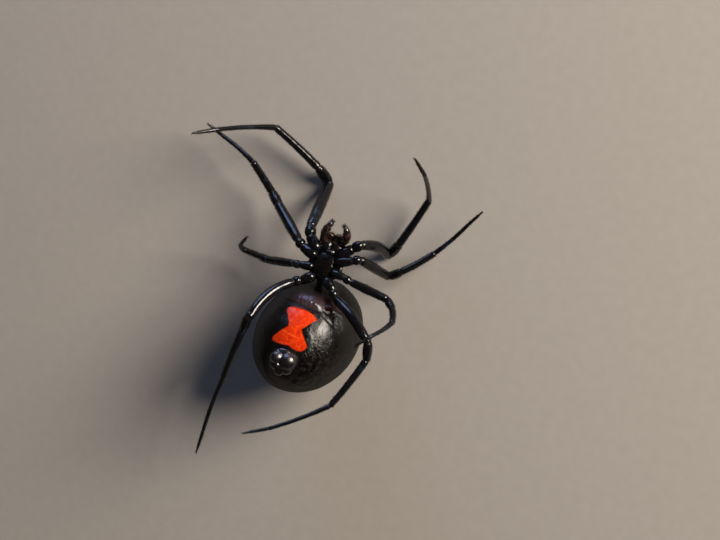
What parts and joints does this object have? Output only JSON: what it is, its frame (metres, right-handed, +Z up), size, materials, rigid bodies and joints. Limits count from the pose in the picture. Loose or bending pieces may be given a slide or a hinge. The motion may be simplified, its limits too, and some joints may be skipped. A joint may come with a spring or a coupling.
{
  "type": "black widow spider",
  "caption": "Life-size model of a black widow spider lying belly up, with a round black abdomen, a red hourglass mark and long thin legs held as in its web.",
  "frame": {"origin": "bottom centre of the whole model's box, on the surface it rests on", "axes": "+Z up through the belly, which faces up; the head points to -Y; the animal's own left side is at -X"},
  "size_m": [0.0226, 0.0272, 0.0108],
  "materials": {
    "abdomen": "satin black hide with a faint leathery grain and a red hourglass",
    "cephalothorax": "glossy black shell",
    "jaws": "glossy dark maroon shell",
    "leg_l1_foot": "glossy black shell with fine bristles",
    "leg_l1_shank": "glossy black shell with fine bristles",
    "leg_l1_thigh": "glossy black shell with fine bristles",
    "leg_l2_foot": "glossy black shell with fine bristles",
    "leg_l2_shank": "glossy black shell with fine bristles",
    "leg_l2_thigh": "glossy black shell with fine bristles",
    "leg_l3_foot": "glossy black shell with fine bristles",
    "leg_l3_shank": "glossy black shell with fine bristles",
    "leg_l3_thigh": "glossy black shell with fine bristles",
    "leg_l4_foot": "glossy black shell with fine bristles",
    "leg_l4_shank": "glossy black shell with fine bristles",
    "leg_l4_thigh": "glossy black shell with fine bristles",
    "leg_r1_foot": "glossy black shell with fine bristles",
    "leg_r1_shank": "glossy black shell with fine bristles",
    "leg_r1_thigh": "glossy black shell with fine bristles",
    "leg_r2_foot": "glossy black shell with fine bristles",
    "leg_r2_shank": "glossy black shell with fine bristles",
    "leg_r2_thigh": "glossy black shell with fine bristles",
    "leg_r3_foot": "glossy black shell with fine bristles",
    "leg_r3_shank": "glossy black shell with fine bristles",
    "leg_r3_thigh": "glossy black shell with fine bristles",
    "leg_r4_foot": "glossy black shell with fine bristles",
    "leg_r4_shank": "glossy black shell with fine bristles",
    "leg_r4_thigh": "glossy black shell with fine bristles",
    "palp_l": "glossy dark maroon shell with fine bristles",
    "palp_r": "glossy dark maroon shell with fine bristles",
    "spinnerets": "satin black, blunt and finely haired",
    "waist": "dark maroon shell"
  },
  "bodies": {
    "root": {"abdomen": "abdomen", "cephalothorax": "cephalothorax", "jaws": "jaws", "leg_l1_foot": "leg_l1_foot", "leg_l1_shank": "leg_l1_shank", "leg_l1_thigh": "leg_l1_thigh", "leg_l2_foot": "leg_l2_foot", "leg_l2_shank": "leg_l2_shank", "leg_l2_thigh": "leg_l2_thigh", "leg_l3_foot": "leg_l3_foot", "leg_l3_shank": "leg_l3_shank", "leg_l3_thigh": "leg_l3_thigh", "leg_l4_foot": "leg_l4_foot", "leg_l4_shank": "leg_l4_shank", "leg_l4_thigh": "leg_l4_thigh", "leg_r1_foot": "leg_r1_foot", "leg_r1_shank": "leg_r1_shank", "leg_r1_thigh": "leg_r1_thigh", "leg_r2_foot": "leg_r2_foot", "leg_r2_shank": "leg_r2_shank", "leg_r2_thigh": "leg_r2_thigh", "leg_r3_foot": "leg_r3_foot", "leg_r3_shank": "leg_r3_shank", "leg_r3_thigh": "leg_r3_thigh", "leg_r4_foot": "leg_r4_foot", "leg_r4_shank": "leg_r4_shank", "leg_r4_thigh": "leg_r4_thigh", "palp_l": "palp_l", "palp_r": "palp_r", "spinnerets": "spinnerets", "waist": "waist"}
  },
  "joints": []
}
